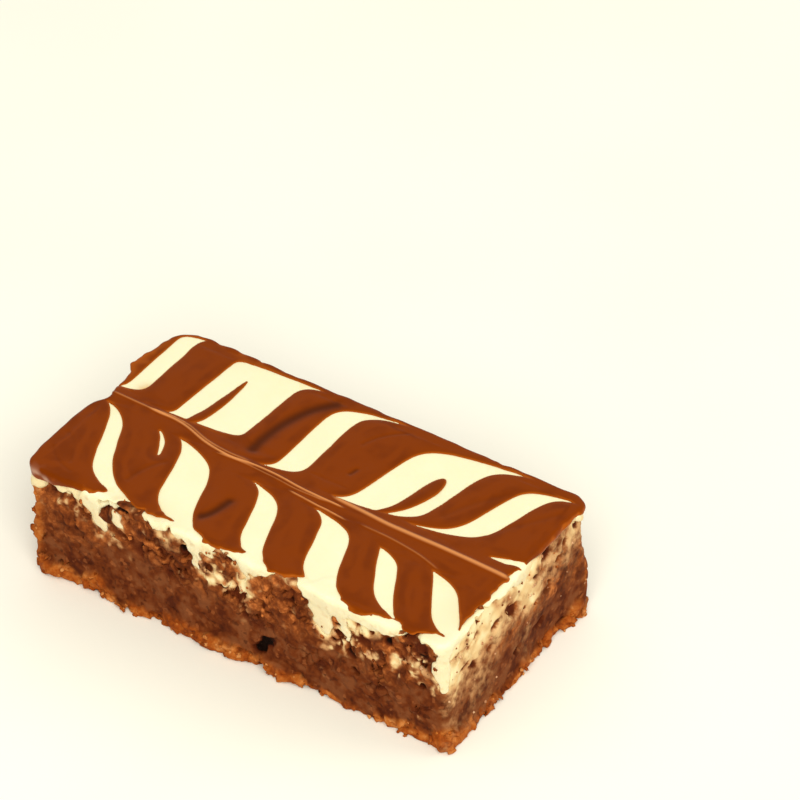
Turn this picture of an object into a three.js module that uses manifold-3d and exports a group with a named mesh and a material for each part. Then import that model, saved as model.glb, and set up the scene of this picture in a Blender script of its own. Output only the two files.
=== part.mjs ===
// A fudgy brownie bar under a layer of pale icing, with chocolate drawn into feathers on top.
// Millimetres, +Z up. X runs along the bar, Y from its front side to its back, and the origin is
// the middle of the underside.
import * as THREE from "three";
import { ImprovedNoise } from "three/addons/math/ImprovedNoise.js";
import { mergeVertices } from "three/addons/utils/BufferGeometryUtils.js";
import Module from "manifold-3d";

// Driving sizes: a bar of 3 by 1.5 inches, cut from a 9 inch square tray.
const LENGTH = 76.2;
const WIDTH = 38.1;
const HEIGHT = 21.9;
const CAKE_HEIGHT = 18.2;
const CHOCOLATE_RELIEF = 0.4;
const CREAM_TOP = HEIGHT - CHOCOLATE_RELIEF;
const LAYER_GAP = 0.3;

// The corners of the cut. The back left one is broken off.
const CORNER_RADII = { frontLeft: 1.6, frontRight: 1.8, backRight: 2.4, backLeft: 5.5 };

// How finely the sides are divided.
const STATIONS = 168;
const SIDE_RINGS = 12;
const INTERFACE_INSETS = [1.1, 2.6, 6, 12];

// Crumb: broad lumps and finer crags on the sides, rougher above the dense fudgy zone.
const LUMP = { size: 6.5, depth: 0.45 };
const CRAG = { size: 2.9, depth: 0.9 };
const FUDGE_ZONE = { top: 9, fade: 4, calm: 0.45 };

// The browned rim at the foot spreads outwards in ragged crumbs.
const RIM = { height: 1.1, spread: 1.1, reach: 0.5, ragged: 0.5, tuck: 0.7 };

// The cake's top under the icing is uneven.
const CAKE_TOP_WAVE = { size: 10, depth: 0.7 };

// Icing: its side bulges over the cake and its upper edge is rounded, from the foot (0) to the top (1).
const ICING_PROFILE = [
  { share: 0.22, out: 0.3 },
  { share: 0.55, out: 0.45 },
  { share: 0.84, out: 0.25 },
  { share: 1, out: -0.5 },
];
const ICING_WAVE = { size: 5, depth: 0.3 };

// Places below are measured from the front left corner of the bar: x, y on plan, and x, y, z for pits.

// Crumb that stands up behind the icing's lower edge (rise above 0), and dips where the knife has dragged
// tongues of cream down the side (below 0). The crumb stops short of the icing's top.
const EDGE_FEATURES = [
  { at: [5, 0], reach: 3.5, rise: 0.8 },
  { at: [13.2, 0], reach: 1.6, rise: -4.6 },
  { at: [20.5, 0], reach: 4.8, rise: 2.1 },
  { at: [31, 0], reach: 1.4, rise: -3.4 },
  { at: [36.3, 0], reach: 3, rise: 2.1 },
  { at: [40.4, 0], reach: 1.2, rise: -2.4 },
  { at: [47, 0], reach: 4.2, rise: 2.1 },
  { at: [55, 0], reach: 2.2, rise: -3.8 },
  { at: [61.5, 0], reach: 3.2, rise: 1.4 },
  { at: [70, 0], reach: 3, rise: 1.4 },
  { at: [76, 0.8], reach: 2.1, rise: -7 },
  { at: [76.2, 11], reach: 6, rise: 1.8 },
  { at: [76.2, 21], reach: 2.6, rise: -1.2 },
  { at: [76.2, 31], reach: 6, rise: 2 },
  { at: [66, 38.1], reach: 4, rise: 1.6 },
  { at: [58, 38.1], reach: 2.4, rise: -4.2 },
  { at: [44, 38.1], reach: 5, rise: 1.4 },
  { at: [24, 38.1], reach: 1.8, rise: -3 },
  { at: [12, 38.1], reach: 4, rise: 1.6 },
  { at: [0, 30], reach: 3, rise: 1.6 },
  { at: [0, 26], reach: 2, rise: -3.6 },
  { at: [0, 12], reach: 4.5, rise: 1.5 },
];
const LEAST_ICING = 1.2;

// Where the icing stands out past the cut of the cake (above 0) or stays behind it (below 0).
const ICING_BULGES = [
  { at: [0, 11], reach: 7, out: 0.45 },
  { at: [0, 19.3], reach: 1.7, out: -1.3 },
  { at: [0, 27.5], reach: 2.4, out: 0.75 },
  { at: [3, 0], reach: 5, out: 0.3 },
];

// Holes and cracks in the crumb.
const PITS = [
  { at: [42.6, 0, 6], reach: 1.7, depth: 1.7 },
  { at: [25.6, 0, 12], reach: 1.2, depth: 1 },
  { at: [16.2, 0, 16.6], reach: 1.5, depth: 1.1 },
  { at: [70, 0, 5], reach: 1.2, depth: 0.9 },
  { at: [76.2, 27, 16], reach: 2, depth: 1.3 },
  { at: [76.2, 31, 15], reach: 1.4, depth: 0.9 },
  { at: [30, 38.1, 8], reach: 1.8, depth: 1.3 },
  { at: [0, 12, 10], reach: 1.7, depth: 1.2 },
];

// Leaves of bare cream between the chocolate plumes. Each runs from a thin tip at the spine to a tail
// drawn along the nearer long edge. The flanks are the x of its left and right side half way, lean is
// how far they slant for each millimetre of y, and reach says how far the pull of the tip goes, and that
// of the tail on the left and on the right.
const FRONT_MIDDLE = 10;
const BACK_MIDDLE = 29;
const CREAM_LEAVES = [
  { tip: [1.5, 18.3], flanks: [6.1, 8.8], lean: -0.38, tail: [21, 0.4], reach: [1.3, 1.4, 2.6] },
  { tip: [16, 17.3], flanks: [19.5, 26], lean: -0.2, tail: [32, 0.2], reach: [1.9, 1.5, 2.2] },
  { tip: [31.5, 15], flanks: [35, 39], lean: -0.28, tail: [44, 0], reach: [1.2, 1.3, 2.2] },
  { tip: [43, 15], flanks: [46.5, 52], lean: -0.28, tail: [59, -0.3], reach: [1, 1.2, 2.2] },
  { tip: [56, 13.1], flanks: [57.5, 61.2], lean: -0.5, tail: [68.3, 0.6], reach: [0.9, 1.6, 1.3] },
  { tip: [65.5, 13], flanks: [67.5, 72.2], lean: -0.6, tail: [79, 1], reach: [1.1, 1.2, 2] },
  { tip: [0.3, 22.3], flanks: [1.6, 4.7], lean: 0, tail: [5.5, 38.6], reach: [0.6, 0.5, 0.9] },
  { tip: [10.5, 21.3], flanks: [12, 24.1], lean: 0.06, tail: [27.6, 38.2], reach: [0.45, 0.3, 0.8] },
  { tip: [30, 19], flanks: [32.1, 36.5], lean: 0, tail: [43.4, 38.4], reach: [0.8, 1.2, 1.2] },
  { tip: [43.5, 18.9], flanks: [47.6, 58.8], lean: 0.18, tail: [66.2, 38.4], reach: [1.1, 1.4, 1.3] },
  { tip: [57, 20], flanks: [65.3, 69.6], lean: 0.26, tail: [74.2, 37.2], reach: [1.35, 1, 1] },
];
const LEAF_STEPS = 14;

// Single strokes: two slivers of chocolate inside cream leaves, and two of cream inside the chocolate.
// The stroke is widest at the share peak of its way.
const CHOCOLATE_STROKES = [
  { from: [14, 21], via: [16.6, 21.5], to: [16.8, 34.2], width: 1.9, peak: 0.35 },
  { from: [50.5, 19.4], via: [54.6, 21.5], to: [55.5, 31.2], width: 2.8, peak: 0.8 },
];
const CREAM_STROKES = [
  { from: [12.3, 17], via: [14.4, 15.6], to: [15.5, 12.2], width: 1.1, peak: 0.5 },
  { from: [71, 20.2], via: [74, 20.6], to: [78, 21.8], width: 1.5, peak: 0.95 },
];
const STROKE_STEPS = 12;
const STROKE_SWELL = 0.6;

// The chocolate stops short of the icing's edge along a ragged line, further back along the front.
const CHOCOLATE_EDGE = { inset: 0.55, frontInset: 0.45, ragged: 0.4, size: 2.2, sink: 0.4 };

// Ridges left by the skewer that drew the spine.
const RIDGES = [
  {
    route: [[2, 20.4], [14, 20], [24, 17.6], [31, 18], [40, 17.3], [52, 17.5], [74, 17.6]],
    width: 0.9,
    rise: 0.25,
  },
  { route: [[37, 16.1], [45, 15.5], [55, 15.3], [65, 14]], width: 0.7, rise: 0.2 },
];
const RIDGE_STEPS = 28;
const RIDGE_SIDES = 8;

const MERGE_DISTANCE = 1e-4;

const noise = new ImprovedNoise();
const wasm = await Module();
wasm.setup();

// A point on plan, from its place measured from the front left corner.
function onBar([x, y]) {
  return new THREE.Vector2(x - LENGTH / 2, y - WIDTH / 2);
}

// Noise of the given grain at a point, from about -1 to 1. Each layer shifts the pattern.
function grain(x, y, z, size, layer) {
  return noise.noise(x / size + layer, y / size + layer, z / size + layer);
}

// The cut outline: evenly spaced points with their outward normals, counter-clockwise.
function cutOutline() {
  const x = LENGTH / 2;
  const y = WIDTH / 2;
  const { frontLeft, frontRight, backRight, backLeft } = CORNER_RADII;
  const quarter = Math.PI / 2;
  const shape = new THREE.Shape();
  shape.absarc(-x + frontLeft, -y + frontLeft, frontLeft, 2 * quarter, 3 * quarter);
  shape.absarc(x - frontRight, -y + frontRight, frontRight, 3 * quarter, 4 * quarter);
  shape.absarc(x - backRight, y - backRight, backRight, 0, quarter);
  shape.absarc(-x + backLeft, y - backLeft, backLeft, quarter, 2 * quarter);
  shape.closePath();
  const points = shape.getSpacedPoints(STATIONS).slice(0, STATIONS);
  return points.map((point, i) => {
    const before = points[(i + STATIONS - 1) % STATIONS];
    const after = points[(i + 1) % STATIONS];
    const normal = new THREE.Vector2(after.y - before.y, before.x - after.x).normalize();
    return { point, normal };
  });
}

const outline = cutOutline();

// The outline moved outwards by a distance worked out at each of its points.
function movedOutline(distanceAt) {
  return outline.map(({ point, normal }) => point.clone().addScaledVector(normal, distanceAt(point)));
}

// The outline drawn in towards the middle of the bar.
function shrunkOutline(inset) {
  const scaleX = 1 - (2 * inset) / LENGTH;
  const scaleY = 1 - (2 * inset) / WIDTH;
  return outline.map(({ point }) => new THREE.Vector2(point.x * scaleX, point.y * scaleY));
}

// 1 at the middle of a feature on plan, fading to 0 around it.
function planBump(x, y, { at, reach }) {
  const middle = onBar(at);
  const share = Math.hypot(x - middle.x, y - middle.y) / reach;
  return Math.exp(-share * share);
}

// Height of the cake's top under the icing.
function cakeTop(x, y) {
  let height = CAKE_HEIGHT + CAKE_TOP_WAVE.depth * grain(x, y, 0, CAKE_TOP_WAVE.size, 0.37);
  for (const feature of EDGE_FEATURES) {
    height += feature.rise * planBump(x, y, feature);
  }
  return Math.min(height, CREAM_TOP - LEAST_ICING);
}

// How far the icing stands out past the cut at a place on plan.
function icingBulge(x, y) {
  let out = 0;
  for (const feature of ICING_BULGES) {
    out += feature.out * planBump(x, y, feature);
  }
  return out;
}

// How far the cake's side stands out from the cut at a point of it.
function crumbRelief(x, y, z) {
  const { top, fade, calm } = FUDGE_ZONE;
  const above = THREE.MathUtils.smoothstep(z, top - fade / 2, top + fade / 2);
  let out = LUMP.depth * grain(x, y, z, LUMP.size, 2.71);
  out += THREE.MathUtils.lerp(calm, 1, above) * CRAG.depth * grain(x, y, z, CRAG.size, 5.13);
  const aboveRim = (z - RIM.height) / RIM.spread;
  out += (RIM.reach + RIM.ragged * grain(x, y, 0, CRAG.size, 8.29)) * Math.exp(-aboveRim * aboveRim);
  for (const { at, reach, depth } of PITS) {
    const middle = onBar(at);
    const share = Math.hypot(x - middle.x, y - middle.y, z - at[2]) / reach;
    out -= depth * Math.exp(-share * share);
  }
  return out;
}

// A closed surface from rings of as many points each, from the lower pole over its outside to the upper
// pole. Each patch between two rings is split along its shorter diagonal, so that layers that meet match.
function ringSolid(lowerPole, rings, upperPole) {
  const count = rings[0].length;
  const points = [lowerPole, ...rings.flat(), upperPole];
  const last = points.length - 1;
  const at = (ring, station) => 1 + ring * count + (station % count);
  const faces = [];
  for (let i = 0; i < count; i++) {
    faces.push(0, at(0, i + 1), at(0, i));
    for (let k = 0; k + 1 < rings.length; k++) {
      const [a, b, c, d] = [at(k, i), at(k, i + 1), at(k + 1, i + 1), at(k + 1, i)];
      if (points[a].distanceTo(points[c]) < points[b].distanceTo(points[d])) {
        faces.push(a, b, c, a, c, d);
      } else {
        faces.push(a, b, d, b, c, d);
      }
    }
    faces.push(at(rings.length - 1, i), at(rings.length - 1, i + 1), last);
  }
  const geometry = new THREE.BufferGeometry().setFromPoints(points);
  geometry.setIndex(faces);
  geometry.computeVertexNormals();
  return geometry;
}

// Plan points lifted to the cake's top, plus a height.
function onCake(points, lift) {
  return points.map(({ x, y }) => new THREE.Vector3(x, y, cakeTop(x, y) + lift));
}

// The cake: a flat underside, crumbly sides and an uneven top.
function cakeGeometry() {
  const foot = movedOutline(({ x, y }) => crumbRelief(x, y, 0) - RIM.tuck);
  const rings = [foot.map(({ x, y }) => new THREE.Vector3(x, y, 0))];
  for (let k = 1; k < SIDE_RINGS; k++) {
    const share = k / SIDE_RINGS;
    const ring = outline.map(({ point, normal }) => {
      const z = share * cakeTop(point.x, point.y);
      const place = point.clone().addScaledVector(normal, crumbRelief(point.x, point.y, z));
      return new THREE.Vector3(place.x, place.y, z);
    });
    rings.push(ring);
  }
  for (const inset of [0, ...INTERFACE_INSETS]) {
    rings.push(onCake(shrunkOutline(inset), 0));
  }
  return ringSolid(new THREE.Vector3(0, 0, 0), rings, new THREE.Vector3(0, 0, cakeTop(0, 0)));
}

// The cream: it follows the cake's top, bulges over its sides and is level on top.
function creamGeometry() {
  const inwards = [0, ...INTERFACE_INSETS];
  const rings = inwards.reverse().map((inset) => onCake(shrunkOutline(inset), LAYER_GAP));
  for (const { share, out } of ICING_PROFILE) {
    const ring = outline.map(({ point, normal }) => {
      const foot = cakeTop(point.x, point.y) + LAYER_GAP;
      const z = THREE.MathUtils.lerp(foot, CREAM_TOP, share);
      const wave = ICING_WAVE.depth * grain(point.x, point.y, z, ICING_WAVE.size, 3.91);
      const place = point.clone().addScaledVector(normal, out + wave + icingBulge(point.x, point.y));
      return new THREE.Vector3(place.x, place.y, z);
    });
    rings.push(ring);
  }
  const lowerPole = new THREE.Vector3(0, 0, cakeTop(0, 0) + LAYER_GAP);
  return ringSolid(lowerPole, rings, new THREE.Vector3(0, 0, CREAM_TOP));
}

// The x of one flank of a cream leaf at a given y.
function flankX(leaf, side, y) {
  const middle = leaf.tail[1] < leaf.tip[1] ? FRONT_MIDDLE : BACK_MIDDLE;
  const line = (at) => leaf.flanks[side] + leaf.lean * (at - middle);
  const [tipX, tipY] = leaf.tip;
  const [tailX, tailY] = leaf.tail;
  const tipPull = (tipX - line(tipY)) * Math.exp(-Math.abs(y - tipY) / leaf.reach[0]);
  const tailPull = (tailX - line(tailY)) * Math.exp(-Math.abs(y - tailY) / leaf.reach[1 + side]);
  return line(y) + tipPull + tailPull;
}

// A cream leaf's outline: up one flank and down the other, with closer points at its ends.
function leafShape(leaf) {
  const flank = (side) => {
    const points = [];
    for (let k = 1; k < LEAF_STEPS; k++) {
      const share = (1 - Math.cos((Math.PI * k) / LEAF_STEPS)) / 2;
      const y = THREE.MathUtils.lerp(leaf.tip[1], leaf.tail[1], share);
      points.push(onBar([flankX(leaf, side, y), y]));
    }
    return points;
  };
  return new THREE.Shape([onBar(leaf.tip), ...flank(0), onBar(leaf.tail), ...flank(1).reverse()]);
}

// A stroke's outline: it swells from a thin start to its peak and rounds off at its end.
function strokeShape({ from, via, to, width, peak }) {
  const middle = new THREE.QuadraticBezierCurve(onBar(from), onBar(via), onBar(to));
  const half = (share) => {
    const past = (share - peak) / (1 - peak);
    const swell = share < peak ? (share / peak) ** STROKE_SWELL : Math.sqrt(1 - past * past);
    return (width / 2) * swell;
  };
  const side = (sign) => {
    const points = [];
    for (let k = 1; k < STROKE_STEPS; k++) {
      const share = k / STROKE_STEPS;
      const tangent = middle.getTangent(share);
      const across = new THREE.Vector2(-tangent.y, tangent.x).multiplyScalar(sign * half(share));
      points.push(middle.getPoint(share).add(across));
    }
    return points;
  };
  return new THREE.Shape([onBar(from), ...side(-1), onBar(to), ...side(1).reverse()]);
}

// A manifold-3d solid of a closed geometry.
function solidOf(geometry) {
  const bare = geometry.clone();
  bare.deleteAttribute("normal");
  bare.deleteAttribute("uv");
  const merged = mergeVertices(bare, MERGE_DISTANCE);
  const mesh = new wasm.Mesh({
    numProp: 3,
    vertProperties: merged.attributes.position.array,
    triVerts: new Uint32Array(merged.index.array),
  });
  return new wasm.Manifold(mesh);
}

function geometryOf(solid) {
  const mesh = solid.getMesh();
  const geometry = new THREE.BufferGeometry();
  geometry.setAttribute("position", new THREE.BufferAttribute(mesh.vertProperties, 3));
  geometry.setIndex(new THREE.BufferAttribute(mesh.triVerts, 1));
  geometry.computeVertexNormals();
  return geometry;
}

// A flat shape as a plate between two heights.
function plate(shape, bottom, top) {
  const geometry = new THREE.ExtrudeGeometry(shape, { depth: top - bottom, bevelEnabled: false });
  return solidOf(geometry.translate(0, 0, bottom));
}

// The chocolate: a thin plate with the cream leaves cut out, the strokes put in and the ridges laid on.
function chocolateSolid() {
  const bottom = CREAM_TOP - CHOCOLATE_EDGE.sink;
  const edge = movedOutline(({ x, y }) => {
    const front = y < CORNER_RADII.frontLeft - WIDTH / 2 ? CHOCOLATE_EDGE.frontInset : 0;
    const ragged = CHOCOLATE_EDGE.ragged * grain(x, y, 0, CHOCOLATE_EDGE.size, 6.43);
    return icingBulge(x, y) + ragged - CHOCOLATE_EDGE.inset - front;
  });
  const through = CHOCOLATE_EDGE.sink;
  let solid = plate(new THREE.Shape(edge), bottom, HEIGHT);
  for (const leaf of CREAM_LEAVES) {
    solid = solid.subtract(plate(leafShape(leaf), bottom - through, HEIGHT + through));
  }
  for (const stroke of CREAM_STROKES) {
    solid = solid.subtract(plate(strokeShape(stroke), bottom - through, HEIGHT + through));
  }
  for (const stroke of CHOCOLATE_STROKES) {
    solid = solid.add(plate(strokeShape(stroke), bottom, HEIGHT));
  }
  for (const ridge of RIDGES) {
    solid = solid.add(ridgeSolid(ridge));
  }
  return solid;
}

// A low ridge along a route on top of the chocolate.
function ridgeSolid({ route, width, rise }) {
  const points = route.map((place) => {
    const { x, y } = onBar(place);
    return new THREE.Vector3(x, y, HEIGHT);
  });
  const section = new THREE.Shape();
  section.absellipse(0, 0, rise, width / 2, 0, 2 * Math.PI);
  const geometry = new THREE.ExtrudeGeometry(section, {
    extrudePath: new THREE.CatmullRomCurve3(points),
    steps: RIDGE_STEPS,
    curveSegments: RIDGE_SIDES,
  });
  return solidOf(geometry);
}

const cakeMaterial = new THREE.MeshStandardMaterial({ color: 0x643c23, roughness: 0.85, metalness: 0 });
const icingMaterial = new THREE.MeshStandardMaterial({ color: 0xfdf6c4, roughness: 0.4, metalness: 0 });

const cake = new THREE.Mesh(cakeGeometry(), cakeMaterial);
cake.name = "brownie_base";

const icing = new THREE.Mesh(geometryOf(solidOf(creamGeometry()).add(chocolateSolid())), icingMaterial);
icing.name = "icing";

const bar = new THREE.Group();
bar.name = "brownie";
bar.add(cake, icing);

export default bar;
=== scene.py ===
import math

import bmesh
import bpy
import numpy as np
from mathutils import Matrix, Vector


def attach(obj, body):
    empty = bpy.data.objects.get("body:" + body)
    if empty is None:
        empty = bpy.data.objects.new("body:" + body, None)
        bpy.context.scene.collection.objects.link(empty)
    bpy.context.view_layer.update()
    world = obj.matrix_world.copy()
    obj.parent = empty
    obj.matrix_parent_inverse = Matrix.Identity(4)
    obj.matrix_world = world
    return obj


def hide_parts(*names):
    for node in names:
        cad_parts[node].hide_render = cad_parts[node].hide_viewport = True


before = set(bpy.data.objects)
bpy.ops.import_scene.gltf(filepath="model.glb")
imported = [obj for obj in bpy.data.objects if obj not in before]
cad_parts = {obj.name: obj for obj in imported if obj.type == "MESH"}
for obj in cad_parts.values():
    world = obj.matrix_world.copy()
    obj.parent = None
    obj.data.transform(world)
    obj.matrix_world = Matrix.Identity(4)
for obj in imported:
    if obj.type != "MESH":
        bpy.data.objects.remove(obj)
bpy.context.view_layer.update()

MM = 0.001

# Driving sizes in millimetres, as in the solids: X along the bar, Y from front to back, Z up.
LENGTH = 76.2
WIDTH = 38.1
CAKE_HEIGHT = 18.2
CREAM_TOP = 21.5
CORNER_RADII = {"front_left": 1.6, "front_right": 1.8, "back_right": 2.4, "back_left": 5.5}

# Places on the bar are measured from its front left corner: x along, y across and z up from the underside.

def rows(names, *table):
    """The rows of a table, with a name for each column."""
    return [dict(zip(names.split(), row)) for row in table]


def side_rows(names, **sides):
    """Rows for each side of the bar: the place along the side, the height, and then the named columns."""
    found = []
    for side, table in sides.items():
        for along, height, *values in table:
            x = {"right": LENGTH, "left": 0}.get(side, along)
            y = {"front": 0, "back": WIDTH}.get(side, along)
            found.append({"at": (x, y, height), **dict(zip(names.split(), values))})
    return found


# Crumb that stands up behind the icing's lower edge, and the least cream that is left over it.
EDGE_FEATURES = rows(
    "at reach rise",
    ((5.4, 0), 3.6, 1.7), ((15.8, 0), 2, 1.3), ((20.5, 0), 4.8, 3.5), ((27, 0), 2.6, 1.2),
    ((36.3, 0), 3, 3.2), ((47, 0), 4.2, 3.6), ((61.5, 0), 3.4, 2.2), ((69.8, 0), 3.4, 2.2),
    ((76.2, 11), 8, 2.6), ((76.2, 31), 6, 2.9), ((66, 38.1), 4, 1.8), ((44, 38.1), 5, 1.4),
    ((12, 38.1), 4, 1.6), ((0, 12), 4.5, 1.5), ((0, 30), 3, 1.6),
)
EDGE_CLEARANCE = 0.15
LEAST_CREAM = 0.7

# Where the icing stands out past the cut line of the cake (above 0) or stays behind it (below 0).
ICING_BULGES = rows(
    "at reach out",
    ((0, 11), 7, 0.45), ((0, 19.3), 1.7, -1.3), ((0, 23.4), 2.6, -0.9), ((0, 28.5), 2.4, 0.6),
    ((3, 0), 5, 0.3), ((10, 38.1), 8, 0.35),
)
ICING_OUT = 0.3
ICING_BACK_OUT = 0.75
CAKE_BACK_OUT = 0.45

# The broken edge of the icing at the back of the left end.
BROKEN_EDGE = {"at": (0, 29.5), "reach": 5.5, "depth": 0.34}

# Tongues of cream dragged down the sides by the knife: a line down the side with its thickness at both ends.
CREAM_TONGUES = rows(
    "top foot thick",
    ((0.4, 0.6, 19.8), (0.5, 0.6, 16.2), (1.6, 0.9)),
    ((10.6, 0, 19.8), (14, 0, 14.6), (1.6, 0.8)),
    ((13, 0, 16.5), (16.2, 0, 13.2), (0.6, 0.35)),
    ((16, 0, 18.2), (16.4, 0, 17), (0.5, 0.45)),
    ((30.4, 0, 20.2), (31.4, 0, 15.8), (1.6, 0.45)),
    ((33.7, 0, 18.4), (33.2, 0, 15.6), (0.75, 0.55)),
    ((40.4, 0, 20.8), (40.8, 0, 17.6), (1.2, 0.5)),
    ((53.6, 0, 20.2), (55, 0, 14.6), (3, 0.8)),
    ((57.4, 0, 18.6), (58.4, 0, 14.8), (0.9, 0.5)),
    ((66.2, 0, 20), (67.2, 0, 15), (0.8, 0.35)),
    ((75.2, 0.4, 20.4), (75.8, 0.4, 12.2), (1.9, 0.8)),
    ((76.2, 20.8, 20.6), (76.2, 23, 18), (2.4, 1)),
    ((58, 38.5, 18.6), (57, 38.5, 15), (1.6, 0.5)),
    ((24, 38.5, 18.6), (24.6, 38.5, 15.8), (1.3, 0.5)),
    ((35, 38.5, 18.4), (34.6, 38.5, 16.6), (1, 0.4)),
    ((0, 26, 19.6), (0, 25, 15), (1.8, 0.6)),
    ((0, 7, 19.8), (0, 7.6, 16.4), (1.2, 0.5)),
)

# Small holes in the cream of the sides.
CREAM_HOLES = rows(
    "at reach",
    ((73.9, 0, 19.6), 0.8), ((76.1, 0.2, 17.2), 0.65), ((14.2, 0, 20), 0.7), ((15.6, 0, 20.4), 0.9),
    ((17, 0, 20.7), 0.8), ((18.4, 0, 20.9), 0.7), ((57.2, 0, 16.8), 0.6), ((66.3, 0, 18.2), 0.8),
    ((76.2, 9, 16.4), 0.5),
)

# Holes and cracks in the crumb: across on plan, up the side and into it. Their depth also sets how much
# painted shade is put in them.
PITS = side_rows(
    "reach tall depth",
    front=[
        (7.2, 19.2, 1, 0.5, 1.6), (14, 19.6, 1, 0.8, 3.4), (15.8, 20.4, 1.3, 0.6, 3.4),
        (17.9, 20.8, 1.1, 0.5, 3.2), (14.6, 18.2, 0.6, 1, 2.8), (15.5, 16.4, 0.6, 0.7, 1.6),
        (20.7, 19, 0.7, 0.6, 1.3), (23.4, 17.5, 0.6, 0.6, 1.4), (29.2, 17.9, 0.7, 1, 2),
        (29.9, 15.4, 0.4, 0.8, 1.4), (37.6, 20.3, 1.1, 0.7, 2.4), (25.8, 12, 0.8, 0.5, 1.5),
        (9.2, 10.1, 0.5, 0.4, 1.2), (5.7, 4, 0.9, 0.5, 1.2), (26.6, 4, 0.45, 0.5, 1.2),
        (41.8, 3.9, 1, 0.8, 2.6), (42.8, 4.7, 1.2, 1, 3.2), (43.8, 5.6, 1.1, 0.9, 3.2),
        (44.8, 6.5, 0.8, 0.7, 2.6), (10.2, 0.3, 1.3, 0.9, 0.9), (15.8, 0.2, 0.9, 0.6, 0.6),
        (42.8, 0.4, 1.4, 0.9, 1.2), (49, 0.2, 2, 0.6, 0.5), (57.4, 16.4, 1.1, 0.4, 1.6),
        (59.2, 11.3, 0.8, 0.5, 1.2), (60.2, 8.7, 0.8, 0.4, 1), (62.5, 15.6, 0.9, 0.5, 1.3),
        (66, 17.8, 1.2, 0.7, 1.8), (69.4, 10, 0.7, 0.5, 1.2), (72, 16.9, 0.8, 0.4, 1.2),
        (74.4, 12.9, 0.5, 0.7, 1.2),
    ],
    right=[
        (5.4, 13, 1.1, 0.7, 1), (7.4, 11.6, 1.3, 0.8, 1.1), (8.6, 17, 0.7, 0.7, 0.7),
        (12, 12, 1, 0.6, 0.8), (13.6, 15.8, 1, 0.7, 1), (16.8, 16.2, 1.3, 0.9, 0.75),
        (18.6, 15, 1.4, 1.2, 0.85), (20.6, 12.6, 1, 0.6, 0.9), (18.8, 6.2, 1.1, 0.8, 1),
        (25.6, 6.6, 1.3, 0.7, 1), (25.2, 17, 1.3, 0.7, 1.3), (27.6, 18.8, 1.2, 1.6, 1),
        (28, 12.8, 1.1, 0.7, 1), (31, 15.8, 1.2, 0.9, 1.2), (33, 17.4, 1.2, 0.9, 1.2),
        (35.8, 18.6, 0.9, 0.8, 1), (32, 2.2, 1.4, 0.8, 1.1),
    ],
    back=[
        (30, 8, 1.4, 0.9, 1.1), (62, 15.5, 1.2, 0.8, 1), (46, 18.4, 1.2, 0.5, 1.1),
        (14, 16, 0.7, 0.9, 1),
    ],
    left=[
        (12, 10, 1.3, 0.8, 1.1), (22, 15, 1, 0.7, 1.4),
    ],
)

# Thin films of cream left on the crumb: across on plan, up the side, and how much they cover.
FILMS = side_rows(
    "reach tall cover",
    front=[
        (5.8, 17, 1.2, 1, 0.35), (14.8, 14, 2.4, 2, 0.35), (27.2, 18.4, 2.6, 2.2, 0.6),
        (34, 15, 3.2, 1.6, 0.48), (39.8, 12, 1.1, 5, 0.6), (41, 16, 3, 2.5, 0.4),
        (55, 13.5, 3.4, 2.6, 0.4), (58, 15.5, 2.4, 2, 0.6), (62, 18.2, 2.6, 1.2, 0.7),
        (66.5, 13.8, 2, 1.4, 0.15), (71.5, 15.8, 2.6, 2, 0.42), (73, 13.5, 1.6, 3, 0.35),
    ],
    back=[
        (58, 15, 5, 3, 0.6), (24, 15, 4, 2.6, 0.5),
    ],
    left=[
        (25, 15.5, 4, 3, 0.5),
    ],
)

# Where the crumb holds flecks of cream, how many, and the most that they cover.
FLECKS = side_rows(
    "reach tall share",
    front=[
        (6, 16.5, 2.5, 1.5, 0.5), (16, 13.5, 3, 1.5, 0.5), (28.5, 14.2, 3, 2.5, 0.9),
        (36, 16, 3, 2.5, 0.8), (43, 15, 2.5, 3, 0.7), (50, 11, 3, 3, 0.7),
        (55.5, 12, 3.5, 2.5, 0.85), (58.5, 14.5, 2.5, 2, 0.85), (65, 14, 3.5, 2.8, 0.85),
        (72, 14, 2.8, 4, 1.05), (52, 5.5, 3, 2.5, 0.6), (71.5, 5.5, 1.8, 1.2, 0.7),
    ],
)
MOST_FLECK = 0.5

# Cream smeared down the right end: how much it covers at each height, and its share from front to back.
END_FILM = {
    "z": (1, 7, 11, 15, 19),
    "cover": (0.22, 0.3, 0.37, 0.82, 0.97),
    "y": (0, 10, 17, 22, 28, 38),
    "share": (1, 0.98, 0.66, 0.9, 0.46, 0.6),
}

# Caramel coloured stains on the cream of the top.
STAINS = [{"at": (4.6, 23.8), "reach": 1.3}]

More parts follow.
